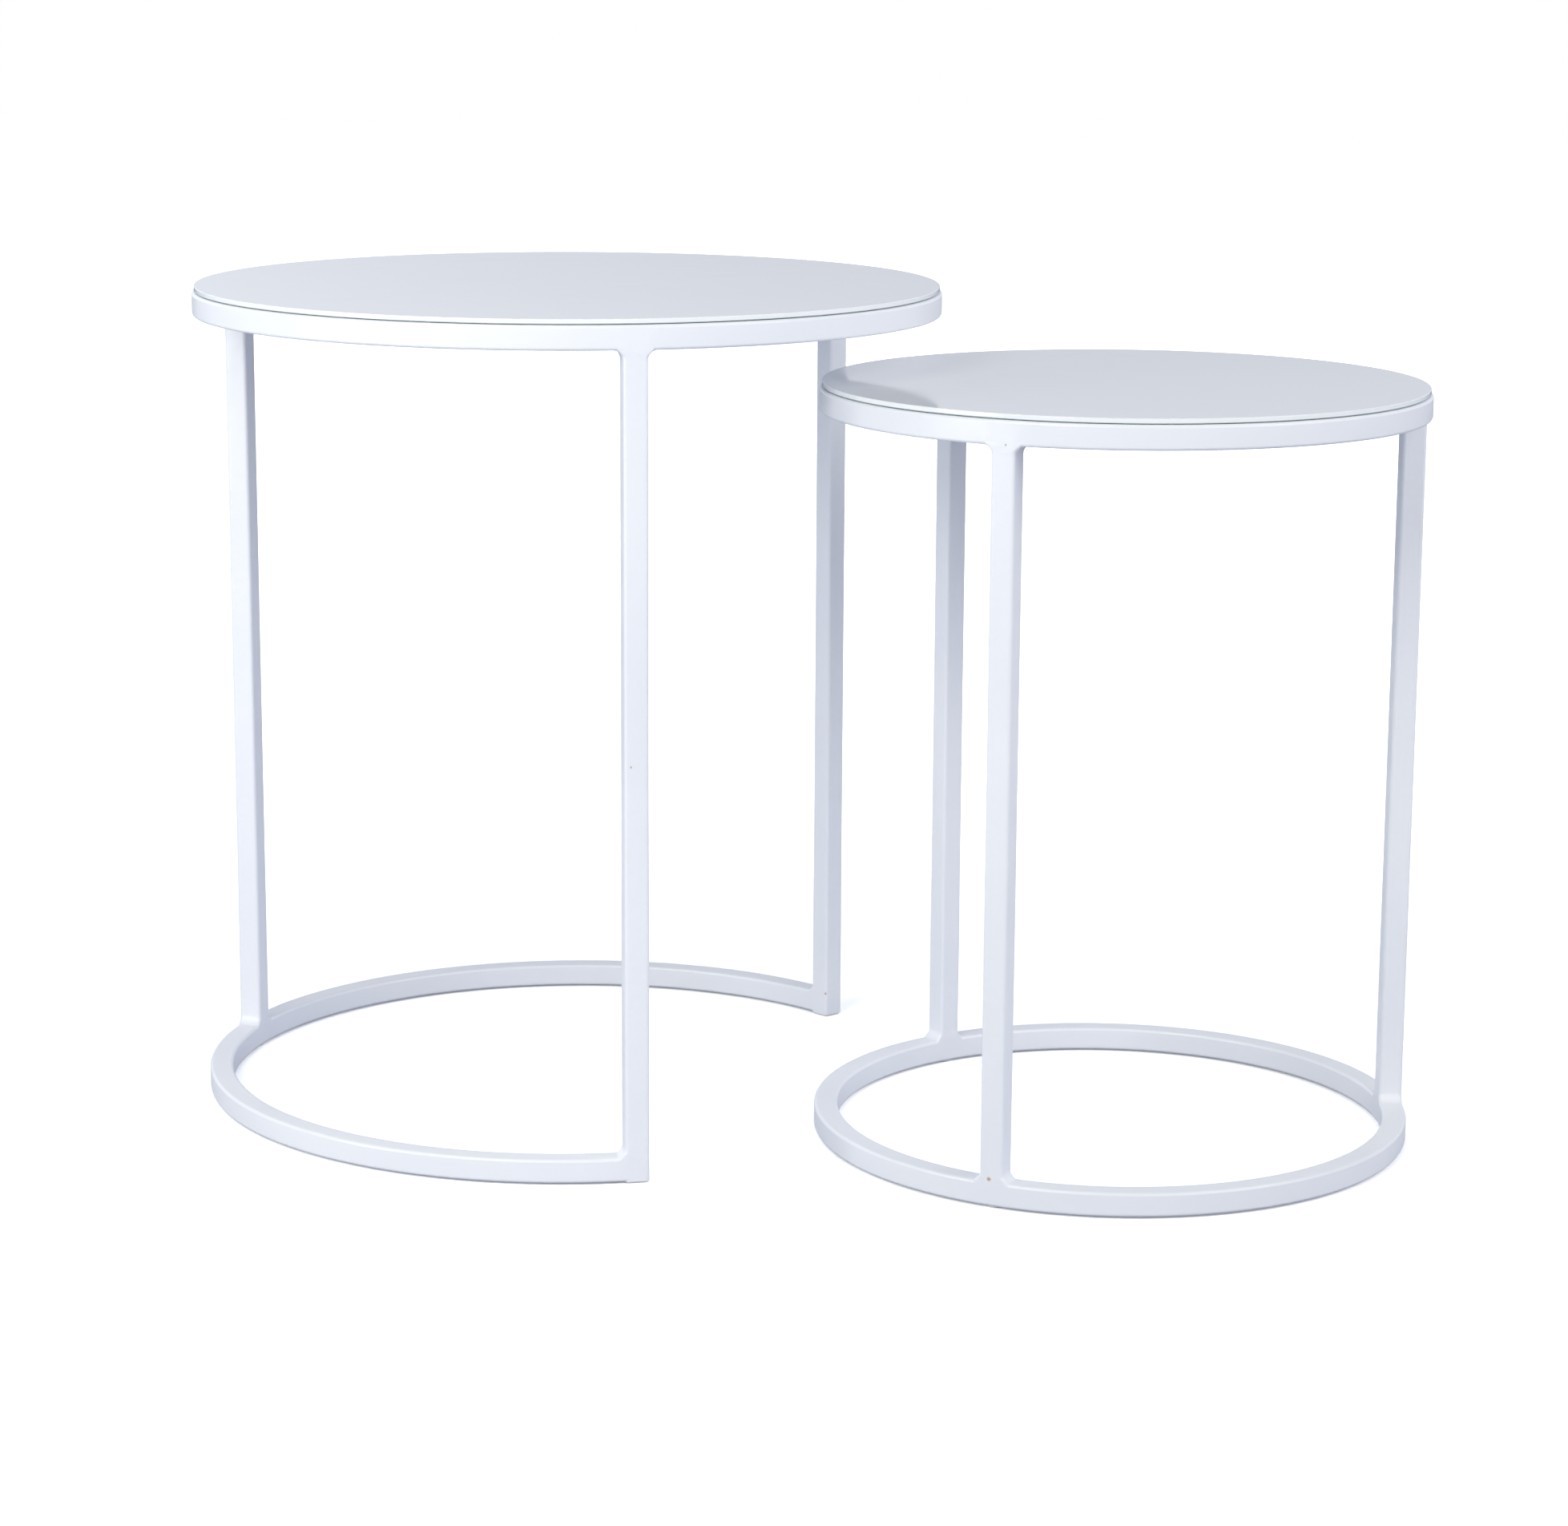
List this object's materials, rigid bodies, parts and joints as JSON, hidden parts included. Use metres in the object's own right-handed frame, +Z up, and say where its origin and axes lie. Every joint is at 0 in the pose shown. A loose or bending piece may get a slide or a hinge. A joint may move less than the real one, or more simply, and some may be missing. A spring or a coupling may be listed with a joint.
{
  "type": "nesting tables",
  "caption": "Round nesting tables in white square steel tube with white glass tops; the lower one slides in through the open base of the taller one.",
  "frame": {"origin": "on the floor, under the middle of the pair's bounding box", "axes": "+X from the large table's centre to the small table's, out of the mouth of the large table's base; +Z up; -Y is the side the front legs are on"},
  "size_m": [0.8423, 0.508, 0.56],
  "materials": {
    "powder_coat": "white powder coat on mild steel tube, smooth satin with a fine orange peel",
    "white_glass": "white back-painted float glass, polished, with a ground arris and a green-tinted edge",
    "silicone": "clear silicone, satin",
    "nylon": "white moulded nylon, fine matt"
  },
  "bodies": {
    "large_table": {"large_glass": "white_glass", "large_top_ring": "powder_coat", "large_base_arc": "powder_coat", "large_left_leg": "powder_coat", "large_front_leg": "powder_coat", "large_rear_leg": "powder_coat", "large_glass_bond_1": "silicone", "large_glass_bond_2": "silicone", "large_glass_bond_3": "silicone", "large_glass_bond_4": "silicone", "large_glass_bond_5": "silicone", "large_glass_bond_6": "silicone", "large_left_leg_weld_1": "powder_coat", "large_left_leg_weld_2": "powder_coat", "large_left_leg_weld_3": "powder_coat", "large_left_leg_weld_4": "powder_coat", "large_front_leg_weld_1": "powder_coat", "large_front_leg_weld_2": "powder_coat", "large_front_leg_weld_3": "powder_coat", "large_rear_leg_weld_1": "powder_coat", "large_rear_leg_weld_2": "powder_coat", "large_rear_leg_weld_3": "powder_coat", "large_left_glide": "nylon", "large_front_plug": "nylon", "large_rear_plug": "nylon"},
    "small_table": {"small_glass": "white_glass", "small_top_ring": "powder_coat", "small_base_ring": "powder_coat", "small_right_leg": "powder_coat", "small_rear_leg": "powder_coat", "small_front_leg": "powder_coat", "small_glass_bond_1": "silicone", "small_glass_bond_2": "silicone", "small_glass_bond_3": "silicone", "small_glass_bond_4": "silicone", "small_glass_bond_5": "silicone", "small_glass_bond_6": "silicone", "small_right_leg_weld_1": "powder_coat", "small_right_leg_weld_2": "powder_coat", "small_right_leg_weld_3": "powder_coat", "small_right_leg_weld_4": "powder_coat", "small_rear_leg_weld_1": "powder_coat", "small_rear_leg_weld_2": "powder_coat", "small_rear_leg_weld_3": "powder_coat", "small_rear_leg_weld_4": "powder_coat", "small_front_leg_weld_1": "powder_coat", "small_front_leg_weld_2": "powder_coat", "small_front_leg_weld_3": "powder_coat", "small_front_leg_weld_4": "powder_coat", "small_right_glide": "nylon", "small_rear_glide": "nylon", "small_front_glide": "nylon"}
  },
  "joints": [
    {"name": "nest_slide", "type": "slide", "parent": "large_table", "child": "small_table", "axis": [-1, 0, 0], "range_m": [-0.08, 0.388]}
  ]
}
